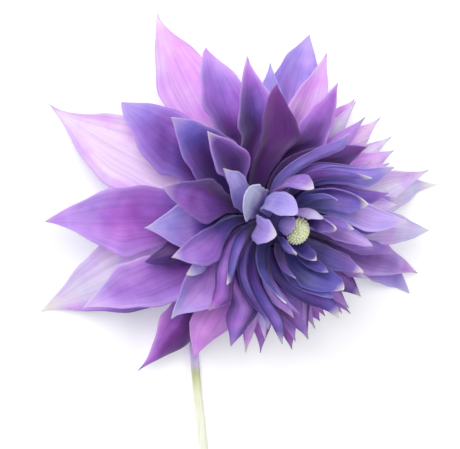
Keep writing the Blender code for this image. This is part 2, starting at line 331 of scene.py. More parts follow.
def wrap(mesh, whorl, ring, petal, room, look, draw):
    """Moves the points of a blank's copy to where the petal grows."""
    root, length, width = math.radians(petal.bearing), petal.length * MM, petal.width * MM
    twist = math.radians(draw.uniform(-TWIST, TWIST))
    line = midline(whorl, length, draw.uniform(-FLICK, FLICK))
    phase = draw.uniform(0, 2 * math.pi)
    for vertex in mesh.vertices:
        along, side, channel = (vertex.co.x + 1) / 2, vertex.co.y, vertex.co.z
        # The room that the neighbours leave in this row
        out, up, slope = line[round(along * ROWS)]
        radius = max(out, WRAP_LEAST)
        edge = room[side > 0]
        beyond = spread(root + math.copysign(edge, side), out)
        arc = radius * spread(root, out)
        # The petal's half width, with its nicks
        hand = math.copysign(1, side)
        full = half_width(along, width * look.wider, look.point * (1 + look.lopsided * hand))
        half = min(full, (edge - SIDE_GAP / 2 / (radius * beyond)) * arc)
        half *= 1 - FOLD_NARROWS * abs(look.fold)
        nick = math.sin(2 * math.pi * NICKS * along + 2 * phase + hand)
        nick += FINE_NICK * math.sin(2 * math.pi * FINE_NICKS * NICKS * along + 3 * phase - hand)
        half *= 1 + NICK * (nick - NICK_TOP) * abs(side)
        # How far the point stands above the whorl's surface
        wave = math.sin(2 * math.pi * WAVES * along + phase + side)
        rise = whorl.cup * half * side * side * math.sin(math.pi * along)
        rise += half * side * math.sin(twist) * along
        rise += WAVE * half / width * side * side * wave
        body = min(1.0, BODY_RISE * along) * min(1.0, BODY_FALL * (1 - along))
        rise += look.fold * half * (channel + FOLD_LEVEL) * body
        rise += CURL * look.curl * half * side ** 4 * along
        rise += RIB * math.cos(math.pi * COLUMNS / RIB_COLUMNS * side) * body
        # The place round the ring, and in the room
        bearing = swept(root + side * half / arc, out) + math.radians(petal.swing) * along * along
        outward = ring.outward(bearing)
        face = ring.axis * math.cos(slope) - outward * math.sin(slope)
        point = ring.centre + outward * out + ring.axis * up + face * rise
        point.z = pressed(point.z)
        vertex.co = point


print("petals:", BLADE / MM, "mm thick, at least", SIDE_GAP / MM, "mm between those of a whorl")

# %% [markdown]
# ## How each petal looks
#
# The petals of the left side lie open and are pale. Those of the leaning side are folded along the middle
# and deep violet to magenta, and towards the heart they grow darker and bluer, their roots there darker
# still with painted shade. So a petal's look follows from its whorl and its side, with a small change drawn
# at random for each. Most petals of the seven whorls can be told apart, so their depth, tint, channel and
# tip are set one by one, and a few also get painted shade and painted highlight on one side, along the
# middle and at the root, partly their own colour, or have an outline of their own. The pale tips are partly
# painted glints.

# %% Looks, from the side and the whorl
WHORL_TONES = (0.12, 0.30, 0.42, 0.5, 0.62, 0.72, 0.8)
TOP_LEVEL = len(WHORLS) - 1
# The side where the petals are deepest and most magenta, by how much, and at what level it would end
DEEPEST_BEARING = -60
SIDE_TONE, SIDE_WARMTH, SIDE_ENDS = 0.36, 0.2, 8
# What the lowest whorl has, and what each level takes off or adds
WARMTH, WARMTH_LOST = 0.85, 0.13
POINT, POINT_LOST = 1.5, 0.12
# Painted shade at the roots, added with each level towards the crowded heart, partly the claws' own darker
# colour
ROOT_SHADE = 0.2
# The ridge that chance gives a petal: its least height, below 0 like all ridges, and how much it may gain
FLAT_FOLD, RIDGE = -0.25, 0.25
SHAPE_SEED, LOOK_SEED = 11, 5


def look_of(level, petal, draw):
    """The look of a petal at a level from 0, the lowest whorl, to 6, the highest."""
    leaning = (1 + math.cos(math.radians(petal.bearing - DEEPEST_BEARING))) / 2
    low, high = int(level), min(TOP_LEVEL, int(level) + 1)
    tone = WHORL_TONES[low] + (WHORL_TONES[high] - WHORL_TONES[low]) * (level - low)
    tone += SIDE_TONE * leaning * (1 - level / SIDE_ENDS) + draw.uniform(-0.1, 0.1)
    warmth = WARMTH - WARMTH_LOST * level + SIDE_WARMTH * leaning + draw.uniform(-0.3, 0.3)
    ridge = draw.random()
    return Look(
        tone=min(1.0, max(0.0, tone)),
        warmth=min(1.0, max(0.0, warmth)),
        fold=FLAT_FOLD - RIDGE * ridge,
        tip=draw.random() ** 2,
        # Painted shade on one side and at the root, partly the petal's own colour; a higher ridge gets a paler
        # middle, a painted highlight along it, partly a paler midrib
        side_shade=draw.uniform(-0.4, 0.4),
        middle_shade=-0.5 * ridge,
        root_shade=ROOT_SHADE * level,
        cool=draw.uniform(0.0, 0.4),
        point=POINT - POINT_LOST * level + draw.uniform(-0.2, 0.2),
        lopsided=draw.uniform(-0.2, 0.2),
        wider=1.0,
        curl=draw.uniform(-0.5, 1.0),
    )


# Whorl by whorl, petal by petal: how deep, how magenta, how deep the channel is, and how pale the tip, its
# paleness partly a painted glint
OWN_LOOKS = (
    (
        (0.15, 0.5, 0.35, 1.0), (0.27, 1.0, 0.2, 0.1), (0.6, 0.15, 0.3, 0.1), (0.22, 1.0, 0.05, 0.0),
        (0.16, 1.0, 0.0, 0.0), (0.12, 0.6, 0.0, 1.0), (0.36, 0.9, 0.1, 0.0), (0.75, 1.0, -0.4, 0.1),
        (0.8, 1.0, -0.4, 0.0), (0.5, 0.3, 0.3, 0.3),
    ),
    (
        (0.22, 0.6, 0.35, 0.8), (0.26, 1.0, -0.3, 0.1), (0.25, 1.0, 0.2, 0.0), (0.36, 0.75, 0.1, 0.0),
        (0.52, 0.85, 0.1, 0.1), (0.43, 0.9, 0.1, 0.0), (0.32, 0.9, 0.1, 0.2), (0.48, 1.0, -0.3, 0.0),
        (1.0, 0.9, -0.5, 0.2), (0.85, 1.0, -0.4, 0.1), (0.34, 0.6, -0.3, 0.2),
    ),
    (
        (0.32, 1.0, -0.35, 0.3), (0.38, 0.9, -0.3, 0.0), (0.28, 0.85, 0.15, 0.1), (0.7, 0.7, 0.2, 0.3),
        (0.46, 0.3, -0.15, 0.2), (0.47, 0.55, 0.2, 0.3), (0.9, 0.7, -0.45, 0.2), (0.95, 0.75, -0.5, 0.3),
        (1.1, 0.5, -0.4, 0.6), (0.3, 0.4, -0.3, 0.5),
    ),
    (
        (0.95, 1.0, 0.15, 0.0), (0.6, 0.85, 0.3, 0.4), (0.75, 0.75, 0.25, 0.3), (0.58, 0.6, 0.2, 0.4),
        (1.0, 0.7, -0.4, 0.3), (1.05, 0.5, -0.5, 0.3), (1.15, 0.5, -0.5, 0.4), (0.34, 0.4, -0.35, 0.5),
        (0.88, 1.0, -0.3, 0.0),
    ),
    (
        (0.36, 0.2, -0.3, 0.5), (0.6, 0.2, -0.4, 0.4), (0.7, 0.3, -0.4, 0.2), (0.02, 0.0, -0.2, 0.0),
        (1.1, 0.3, -0.5, 0.8), (1.15, 0.4, -0.5, 0.5), (1.15, 0.3, -0.5, 0.8),
    ),
    (
        (0.7, 0.2, 0.4, 1.0), (0.85, 0.8, -0.4, 0.6), (0.6, 0.25, -0.4, 0.0), (0.66, 0.3, -0.4, 0.5),
        (0.95, 0.1, -0.4, 1.0), (0.85, 0.1, -0.4, 1.0),
    ),
    (
        (0.5, 0.2, 0.3, 1.0), (0.34, 0.65, 0.3, 0.0), (0.6, 0.0, 0.2, 0.2), (0.85, 0.1, 0.3, 0.8),
        (0.85, 0.1, 0.3, 1.0),
    ),
)

# What else is special about single petals, by their number in the whorl; their side, middle and root
# values are painted shade, partly their own colour, and a middle and a root below 0 get a painted highlight
# instead
SPECIAL = (
    {
        2: dict(cool=0.0), 3: dict(wider=1.5, point=1.1, cool=0.0),
        4: dict(side_shade=-0.15, cool=0.0, point=1.5, lopsided=-0.25),
        5: dict(curl=1.2, middle_shade=-0.35, cool=0.0, point=1.9, lopsided=-0.15),
        6: dict(side_shade=0.9, root_shade=0.7, point=1.4),
        7: dict(side_shade=1.6, middle_shade=0.5, root_shade=2.0, point=1.8, lopsided=-0.25),
        8: dict(middle_shade=-0.5), 10: dict(wider=1.2, point=0.9, middle_shade=0.4),
    },
    {
        2: dict(cool=0.0), 3: dict(cool=0.0, point=1.2),
        4: dict(middle_shade=0.4, side_shade=0.3, root_shade=0.7, cool=0.3, point=0.95, lopsided=-0.3),
        5: dict(middle_shade=0.3, cool=0.8, point=0.85),
        6: dict(side_shade=0.0, middle_shade=0.1, cool=0.7, point=1.3, lopsided=0.3),
        7: dict(middle_shade=0.4, cool=0.8, wider=1.12),
        8: dict(cool=-0.2, point=1.5, wider=1.8, lopsided=0.35), 9: dict(middle_shade=-0.7, cool=-0.2),
        10: dict(middle_shade=-0.5), 11: dict(middle_shade=0.5, cool=0.0),
    },
    {
        2: dict(middle_shade=0.7, cool=0.0),
        3: dict(middle_shade=0.9, side_shade=0.8, root_shade=0.0, cool=0.2, point=1.3, lopsided=-0.2),
        4: dict(middle_shade=0.35, cool=0.6), 5: dict(cool=0.5, root_shade=1.5),
        6: dict(side_shade=-0.3, root_shade=-0.8, cool=0.7, wider=1.3, lopsided=0.3),
        7: dict(wider=1.25, middle_shade=-1.0, side_shade=0.6, cool=0.5),
        8: dict(wider=1.25, middle_shade=-1.0, side_shade=0.6, cool=0.2),
        9: dict(middle_shade=-0.8, cool=-0.2),
    },
    {
        1: dict(cool=-0.2, root_shade=0.0, lopsided=-0.35),
        2: dict(middle_shade=0.8, cool=0.3, root_shade=-0.6), 3: dict(side_shade=-0.7, root_shade=0.6),
        4: dict(side_shade=-0.5, middle_shade=-0.2, root_shade=0.9), 5: dict(middle_shade=-1.1, cool=-0.1),
        6: dict(middle_shade=-1.1), 7: dict(middle_shade=-0.9), 9: dict(middle_shade=0.2, cool=0.0),
    },
    {
        3: dict(root_shade=-0.5), 4: dict(point=0.45, wider=0.75, lopsided=0.0, root_shade=2.2),
        5: dict(middle_shade=-0.9), 6: dict(middle_shade=-0.9), 7: dict(middle_shade=-0.7),
    },
    {
        1: dict(root_shade=0.5), 2: dict(point=0.8, root_shade=-0.5), 3: dict(point=0.6, root_shade=-0.4),
        4: dict(point=0.6, root_shade=0.2),
    },
    {
        2: dict(point=0.5, root_shade=0.0), 3: dict(point=0.6, root_shade=0.4),
    },
)
print("petals with a look of their own:", sum(len(looks) for looks in OWN_LOOKS))

# %% Copy the blank for every petal
# The parts of a look that a petal carries to its finish
CARRIED = ("tone", "warmth", "tip", "side_shade", "middle_shade", "root_shade", "cool")

shape_draw = random.Random(SHAPE_SEED)
look_draw = random.Random(LOOK_SEED)


def make_petal(name, whorl, ring, petal, room, look, draw):
    """A copy of the blank, wrapped onto its whorl, with its thickness and the values for its finish."""
    piece = copy_of(petal_blank, name)
    mesh = piece.data
    mesh.name = name
    wrap(mesh, whorl, ring, petal, room, look, draw)
    for title in CARRIED:
        attribute = mesh.attributes.new(title, "FLOAT", "POINT")
        attribute.data.foreach_set("value", [getattr(look, title)] * len(mesh.vertices))
    select_only([piece])
    merge_points(TIP_MERGE)
    object_mode()
    upper_faces = len(mesh.polygons)
    thickness = piece.modifiers.new("thickness", "SOLIDIFY")
    thickness.thickness = BLADE
    thickness.offset = 0
    bpy.ops.object.modifier_apply(modifier=thickness.name)
    under = piece.data.attributes.new("under", "FLOAT", "FACE")
    for number in range(upper_faces, 2 * upper_faces):
        under.data[number].value = 1.0
    bpy.ops.object.shade_smooth()
    return piece


petals = {}
for level, (whorl, ring) in enumerate(zip(WHORLS, rings)):
    rooms = rooms_of(whorl.petals)
    for number, petal in enumerate(whorl.petals):
        name = f"{whorl.name}_{number + 1:02d}"
        look = look_of(level, petal, look_draw)
        tone, warmth, fold, tip = OWN_LOOKS[level][number]
        look = look._replace(tone=tone, warmth=warmth, fold=fold, tip=tip, side_shade=0.0)
        look = look._replace(**SPECIAL[level].get(number + 1, {}))
        piece = make_petal(f"{name}_fine", whorl, ring, petal, rooms[number], look, shape_draw)
        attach(piece, "root")
        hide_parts(name)
        petals[name] = piece
print("petals made:", len(petals))

# %% [markdown]
# ## Narrow petals in between
#
# Between the whorls of a double anemone stand narrower petals, which crowd the leaning side and the heart.
# They need no table of their own: each grows on a ring halfway between two whorls, and takes its length
# from the petals below and above it, a little shorter. Low down on the right, where the guard petals lie
# far apart, and behind the first heart petal, the flower has none.

# %% Narrow petals on the rings in between
# Level, number of petals and their width in mm
NARROW = ((0.5, 11, 6.5), (1.5, 11, 6.5), (2.5, 10, 6.5), (3.5, 8, 6.0), (4.5, 6, 5.0), (5.5, 4, 4.0))
# How many degrees they reach to either side of the leaning side's middle
NARROW_REACH = 118
# What is special about single ones, by their number: these two are paler, with no painted shade at the
# root
SPECIAL_NARROW = {34: dict(tone=0.5, root_shade=0.0), 38: dict(tone=0.55, root_shade=0.0)}
NARROW_SEED = 3
# Lowest and highest level, then lowest and highest bearing, of the parts of the bloom that have none
FREE = ((0, 2, -60, 50), (4, 5, 20, 48))


def between(level):
    """The whorl and the ring halfway between two whorls."""
    low, high = WHORLS[int(level)], WHORLS[int(level) + 1]
    mean = [(a + b) / 2 for a, b in zip(low[1:7], high[1:7])]
    ring = Ring((rings[int(level)].centre + rings[int(level) + 1].centre) / 2, mean[0])
    return Whorl("narrow_petal", *mean, ()), ring


def length_at(whorl, bearing):
    """The length of the whorl's petals at a bearing, between its two nearest ones."""
    before = min(whorl.petals, key=lambda petal: (bearing - petal.bearing) % 360)
    after = min(whorl.petals, key=lambda petal: (petal.bearing - bearing) % 360)
    gap = (after.bearing - before.bearing) % 360
    share = ((bearing - before.bearing) % 360) / gap if gap else 0.0
    return before.length + (after.length - before.length) * share


narrow_draw = random.Random(NARROW_SEED)
narrow_petals = []


def add_narrow(level, petal, room, look):
    """Makes the next narrow petal, with the look drawn for it."""
    whorl, ring = between(level)
    number = len(narrow_petals) + 1
    name = f"narrow_petal_{number:02d}"
    look = look._replace(**SPECIAL_NARROW.get(number, {}))
    piece = make_petal(name, whorl, ring, petal, room, look, narrow_draw)
    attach(piece, "root")
    narrow_petals.append(piece)
    petals[name] = piece


for level, count, width in NARROW:
    below, above = WHORLS[int(level)], WHORLS[int(level) + 1]
    grown = []
    for i in range(count):
        bearing = LEAN_BEARING + NARROW_REACH * (2 * (i + narrow_draw.uniform(0.3, 0.7)) / count - 1)
        length = (length_at(below, bearing) + length_at(above, bearing)) / 2
        length *= narrow_draw.uniform(0.82, 0.96)
        grown.append(Petal(bearing, length, width * narrow_draw.uniform(0.85, 1.1)))
    rooms = rooms_of(grown)
    for number, petal in enumerate(grown):
        look = look_of(level, petal, narrow_draw)
        if not any(low < level < high and left < petal.bearing < right for low, high, left, right in FREE):
            add_narrow(level, petal, rooms[number], look)
print("narrow petals made:", len(narrow_petals))

# %% [markdown]
# ## A few more on the open side
#
# Short petals show here and there between the large ones of the open side, some of them deep in the shade
# and some pale, and the darkest one is painted near black as painted shade. There are too few of them for a
# rule, so each is put where it shows.

# %% Single narrow petals: level, petal, and what is special about its look
HALF_HIDDEN = (
    # Painted shade: a petal painted near black, standing for the deep shade between the large petals
    (1.5, Petal(174, 19, 8), dict(tone=1.1, warmth=0.8, tip=0.0, point=0.9, middle_shade=0.0)),
    (0.5, Petal(192, 18, 8), dict(tone=0.85, warmth=0.7, tip=0.0)),
    (0.5, Petal(117, 23, 10), dict(tone=0.5, warmth=0.25, tip=0.0)),
    (2.5, Petal(178, 15, 6), dict(tone=0.45, warmth=0.4, tip=0.7, point=0.8)),
    (3.5, Petal(149, 18, 6), dict(tone=0.42, warmth=0.1, tip=0.4, root_shade=0.0)),
)

for level, petal, own in HALF_HIDDEN:
    look = look_of(level, petal, narrow_draw)._replace(**own)
    room = rooms_of((petal, petal._replace(bearing=LEAN_BEARING)))[0]
    add_narrow(level, petal, room, look)
print("narrow petals in all:", len(narrow_petals))

# %% [markdown]
# ## The stem
#
# The stem is a soft round stalk with faint ribs along it, and it swells into the receptacle that carries the
# petals. A curve with a radius at each point gives both in one run, without a joint at the neck. It is
# turned into a mesh afterwards, so that the ribs can be raised and a pattern can follow it.

# %% A curve along the stem, made into a mesh
# Places from the cut end to the neck, measured from below the bloom's foot, and radii, all in mm
STEM_POINTS = (
    ((1.3, -104.0, 1.1), 1.05), ((-1.8, -85.0, 1.05), 1.0), ((-4.4, -62.0, 1.0), 0.95),
    ((-6.2, -45.0, 0.97), 0.87), ((-7.4, -33.0, 0.95), 0.82), ((-8.0, -23.0, 1.2), 0.8),
    ((-7.6, -13.0, 2.6), 0.9), ((-5.6, -5.5, 5.4), 1.0), ((-2.4, -1.2, 8.6), 1.5),
)
# How far the receptacle reaches below the first ring and above the last one, and its radii there, in mm
FOOT_DEPTH, FOOT_RADIUS = 2.2, 3.6
TOP_HEIGHT, TOP_RADIUS = 0.9, 2.4
SEAT_GAP = 0.3 * MM
STEM_SIDES, STEM_RIBS, STEM_RIB = 32, 8, 0.05 * MM
STEM_STEPS = 16
STEM_MERGE = 0.001 * MM
CAP_ANGLE = 50
RIBS_FADE = 4 * MM


def stem_places():
    """The points of the curve, each with its radius, up to the top of the receptacle."""
    places = []
    ground = Vector((BLOOM_BASE.x, BLOOM_BASE.y, 0))
    for point, radius in STEM_POINTS:
        places.append((ground + Vector(point) * MM, radius * MM))
    places.append((rings[0].centre - rings[0].axis * FOOT_DEPTH * MM, FOOT_RADIUS * MM))
    for whorl, ring in zip(WHORLS, rings):
        root = SOLID_BLADE / 2 * abs(math.sin(math.radians(whorl.start)))
        places.append((ring.centre, whorl.seat * MM - root - SEAT_GAP))
    places.append((rings[-1].centre + rings[-1].axis * TOP_HEIGHT * MM, TOP_RADIUS * MM))
    return places


def make_stem(places):
    bpy.ops.curve.primitive_bezier_curve_add()
    stem = bpy.context.object
    stem.name = "stem_fine"
    stem.data.bevel_depth = 1.0
    stem.data.bevel_resolution = (STEM_SIDES - 4) // 2
    stem.data.use_fill_caps = True
    spline = stem.data.splines[0]
    spline.bezier_points.add(len(places) - len(spline.bezier_points))
    spline.resolution_u = STEM_STEPS
    for point, (place, radius) in zip(spline.bezier_points, places):
        point.co = place
        point.radius = radius
        point.handle_left_type = "AUTO"
        point.handle_right_type = "AUTO"
    bpy.ops.object.convert(target="MESH")
    stem = bpy.context.object
    raise_ribs(stem.data)
    merge_points(STEM_MERGE)
    bpy.ops.mesh.normals_make_consistent(inside=False)
    object_mode()
    bpy.ops.object.shade_smooth_by_angle(angle=math.radians(CAP_ANGLE))
    return stem


def raise_ribs(mesh):
    """Raises ribs between the cut end and the bloom; the points lie ring after ring."""
    cut = min(vertex.co.y for vertex in mesh.vertices)
    moves = []
    for number, vertex in enumerate(mesh.vertices):
        begun = min(1.0, (vertex.co.y - cut) / RIBS_FADE)
        left = min(1.0, max(0.0, (BLOOM_BASE.y - 2 * RIBS_FADE - vertex.co.y) / RIBS_FADE))
        height = STEM_RIB * math.cos(2 * math.pi * STEM_RIBS * number / STEM_SIDES)
        moves.append(vertex.normal * height * begun * left)
    for vertex, move in zip(mesh.vertices, moves):
        vertex.co += move


stem = make_stem(stem_places())
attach(stem, "root")
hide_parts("stem")
print("stem:", len(stem.data.vertices), "points")

# %% [markdown]
# ## Hairs on the stem
#
# The bare stem of an anemone has soft, silky hairs that stand off it. Particle hair would be quick, but it
# isn't a mesh, so it is lost when the flower leaves Blender. One hair is modelled as a thin, three-sided
# spike with a slight bend, and copied to points spread over the stem. None grows on the side that lies on
# the table.

# %% Helpers for parts that are copied many times, and one hair
HAIR_LENGTH, HAIR_WIDTH, HAIR_BEND = 0.8 * MM, 0.025 * MM, 0.25 * MM
# Where a hair is cut across so that it can bend, as shares of its length from its middle
HAIR_CUTS = (-0.15, 0.2)


def place_copy(model, name, placing):
    """A copy of a model, with its mesh moved to its place."""
    copy = copy_of(model, name)
    copy.data.transform(placing)
    return copy


def join_parts(parts):
    """Joins objects into the first of them."""
    select_only(parts)
    bpy.ops.object.join()
    bpy.ops.object.shade_smooth()
    return parts[0]


def make_hair():
    bpy.ops.mesh.primitive_cone_add(vertices=3, radius1=HAIR_WIDTH, radius2=0, depth=HAIR_LENGTH)
    hair = bpy.context.object
    for height in HAIR_CUTS:
        edit_all()
        bpy.ops.mesh.bisect(plane_co=(0, 0, height * HAIR_LENGTH), plane_no=(0, 0, 1))
    object_mode()
    for vertex in hair.data.vertices:
        vertex.co.z += HAIR_LENGTH / 2
        vertex.co.x += HAIR_BEND * (vertex.co.z / HAIR_LENGTH) ** 2
    return hair


hair = make_hair()
print("hair:", len(hair.data.vertices), "points,", HAIR_LENGTH / MM, "mm long")

# %% Copy it along the stem
HAIR_COUNT = 600
# How far a hair's direction strays, and how deep it is sunk into the stem, in mm
HAIR_SLANT, HAIR_SUNK = 0.35, 0.02
# Hairs grow on faces that don't look down more than this, and on none as large as the cut end
LEAST_UP, LARGEST_FACE = -0.4, 1e-6
HAIR_SEED = 8


def make_hairs(stem, hair):
    draw = random.Random(HAIR_SEED)
    bare = [face for face in stem.data.polygons if face.center.y < BLOOM_BASE.y - 3 * RIBS_FADE
            and face.normal.z > LEAST_UP and face.area < LARGEST_FACE]
    copies = []
    for number in range(HAIR_COUNT):
        face = draw.choice(bare)
        direction = face.normal + Vector([draw.uniform(-HAIR_SLANT, HAIR_SLANT) for axis in range(3)])
        turn = direction.to_track_quat("Z", "Y").to_matrix().to_4x4()
        size = draw.uniform(0.6, 1.0)
        place = Matrix.Translation(face.center - face.normal * HAIR_SUNK * MM)
        copies.append(place_copy(hair, f"hair_{number}", place @ turn @ Matrix.Scale(size, 4)))
    bpy.data.objects.remove(hair)
    hairs = join_parts(copies)
    hairs.name = "stem_hairs"
    return hairs


hairs = make_hairs(stem, hair)
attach(hairs, "root")
print("hairs:", HAIR_COUNT, "faces:", len(hairs.data.polygons))

# %% [markdown]
# ## The carpels
#
# In the middle of the bloom stand the carpels, a low dome of many small green pistils. The dome is a sphere
# that is cut off at its foot, and one pistil is modelled and copied over it. The golden angle spaces them
# the way they grow.

# %% A dome and its pistils
CARPEL_RADIUS, CARPEL_HEIGHT = 2.2 * MM, 1.8 * MM
# On a dome of radius 1: where it is cut off, how much of its height the pistils cover, the size of a
# pistil, how much longer its outer half is, and where its middle sits
DOME_FOOT, COVERED = -0.2, 0.95
PISTIL_RADIUS, PISTIL_STRETCH, PISTIL_SEAT = 0.15, 1.8, 0.98
PISTIL_COUNT = 90
GOLDEN_ANGLE = math.pi * (3 - math.sqrt(5))


def make_carpels(ring):
    bpy.ops.mesh.primitive_uv_sphere_add(segments=32, ring_count=16, radius=1)
    dome = bpy.context.object
    dome.name = "carpels_fine"
    edit_all()
    bpy.ops.mesh.bisect(plane_co=(0, 0, DOME_FOOT), plane_no=(0, 0, -1), use_fill=True, clear_outer=True)
    object_mode()
    parts = [dome]
    bpy.ops.mesh.primitive_uv_sphere_add(segments=8, ring_count=6, radius=PISTIL_RADIUS)
    pistil = bpy.context.object
    for vertex in pistil.data.vertices:
        if vertex.co.z > 0:
            vertex.co.z *= PISTIL_STRETCH
    for i in range(PISTIL_COUNT):
        level = 1 - COVERED * (i + 0.5) / PISTIL_COUNT
        across = math.sqrt(1 - level * level)
        bearing = i * GOLDEN_ANGLE
        direction = Vector((across * math.cos(bearing), across * math.sin(bearing), level))
        turn = direction.to_track_quat("Z", "Y").to_matrix().to_4x4()
        parts.append(place_copy(pistil, f"pistil_{i:02d}", Matrix.Translation(direction * PISTIL_SEAT) @ turn))
    bpy.data.objects.remove(pistil)
    carpels = join_parts(parts)
    middle = ring.centre + ring.axis * (TOP_HEIGHT * MM + SEAT_GAP - DOME_FOOT * CARPEL_HEIGHT)
    size = Matrix.Diagonal((CARPEL_RADIUS, CARPEL_RADIUS, CARPEL_HEIGHT, 1))
    carpels.data.transform(Matrix.Translation(middle) @ ring.turn.to_4x4() @ size)
    return carpels


carpels = make_carpels(rings[-1])
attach(carpels, "root")
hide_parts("carpels")
print("pistils:", PISTIL_COUNT)

# %% [markdown]
# ## The petals' finish
#
# A petal is a thin, moist skin. Light goes into it and comes out again tinted, fine veins run from the claw
# to the tip, the claw is darker, the underside is paler and bluer, and the sides catch the light. Painted
# shade and painted highlight lie on a side, along the middle and at the root, partly the petal's own colour,
# and the pale tip is partly a painted glint. The finish reads the petal's own map, so that the veins follow
# its outline, and the values that each petal carries.

# %% A small helper for nodes


def srgb(red, green, blue):
    """A colour as it looks on a screen, from 0 to 255, as the linear colour that a shader takes."""
    linear = []
    for number in (red, green, blue):
        share = number / 255
        linear.append(share / 12.92 if share <= 0.04045 else ((share + 0.055) / 1.055) ** 2.4)
    return (*linear, 1.0)


class Finish:
    """A material whose nodes are added one at a time."""

    def __init__(self, name):
        self.material = bpy.data.materials.new(name)
        self.material.use_nodes = True
        self.tree = self.material.node_tree
        self.shader = self.tree.nodes["Principled BSDF"]

    def add(self, kind, **settings):
        node = self.tree.nodes.new("ShaderNode" + kind)
        for key, value in settings.items():
            setattr(node, key, value)
        return node

    def join(self, source, target):
        self.tree.links.new(source, target)

    def feed(self, value, socket):
        if isinstance(value, bpy.types.NodeSocket):
            self.join(value, socket)
        else:
            socket.default_value = value

    def place(self):
        return self.add("TexCoord").outputs["Object"]

    def attribute(self, name):
        return self.add("Attribute", attribute_name=name).outputs["Fac"]

    def fill(self, node, values):
        """Joins patterns to a node, and sets constant values straight on its sockets."""
        for name, value in values.items():
            self.feed(value, node.inputs[name])

    def math(self, operation, first, second=0.0):
        node = self.add("Math", operation=operation)
        for value, socket in zip((first, second), node.inputs):
            self.feed(value, socket)
        return node.outputs[0]

    def times(self, first, second):
        return self.math("MULTIPLY", first, second)

    def plus(self, first, second):
        return self.math("ADD", first, second)

    def minus(self, first, second):
        return self.math("SUBTRACT", first, second)

    def ramp(self, factor, *stops):
        node = self.add("ValToRGB")
        while len(node.color_ramp.elements) < len(stops):
            node.color_ramp.elements.new(0.5)
        for element, (place, colour) in zip(node.color_ramp.elements, stops):
            element.position = place
            element.color = colour
        self.feed(factor, node.inputs["Fac"])
        return node.outputs["Color"]

    def mix(self, factor, first, second, blend="MIX"):
        node = self.add("Mix", data_type="RGBA", blend_type=blend)
        # Inputs 6 and 7 and output 2 are the ones for colours
        self.fill(node, {"Factor": factor, 6: first, 7: second})
        return node.outputs[2]

    def noise(self, vector, scale, detail=2.0, roughness=0.5, shift=0.0):
        node = self.add("TexNoise", noise_dimensions="4D")
        self.fill(node, {"Vector": vector, "W": shift})
        self.fill(node, {"Scale": scale, "Detail": detail, "Roughness": roughness})
        return node.outputs["Fac"]


def grey(value):
    return (value, value, value, 1.0)


print("half of a screen's brightness is", round(srgb(128, 128, 128)[0], 2), "to a shader")

# %% The petals' finish
# From pale to deep, for the petals that are bluish and for those that are more magenta
BLUISH = (srgb(220, 226, 250), srgb(190, 178, 242), srgb(146, 134, 216), srgb(90, 84, 172), srgb(50, 46, 122))
MAGENTA = (srgb(244, 218, 247), srgb(226, 158, 244), srgb(172, 104, 202), srgb(116, 50, 140), srgb(74, 30, 98))
STEPS = (0.0, 0.27, 0.5, 0.75, 1.0)
EDGE = srgb(196, 188, 240)
# The pale tip's colour: its own cream, partly a painted glint
CREAM_AND_GLINT = srgb(240, 236, 214)
# How fine the blotches are and how strongly they tint, how fine the stains are and how much they deepen
BLOTCHES, BLOTCHED = 130.0, 1.4
STAINS, STAINED = 210.0, 0.45
# How much less magenta and how much paler the underside is
UNDER_COOLER, UNDER_PALER = 0.35, 0.12
# How far along a petal the colour has its own depth, how far the dark root and the shades reach, and where
# a petal begins to cool
MIDDLE, ROOT_REACH, SHADE_REACH, COOLS_FROM = 0.6, 0.55, 1.1, 0.5
# Veins along and across, how dark they are, and how deep their relief is
VEINS_ALONG, VEINS_ACROSS, VEIN_DARK, VEIN_RELIEF = 1.2, 22.0, 0.8, 0.08 * MM


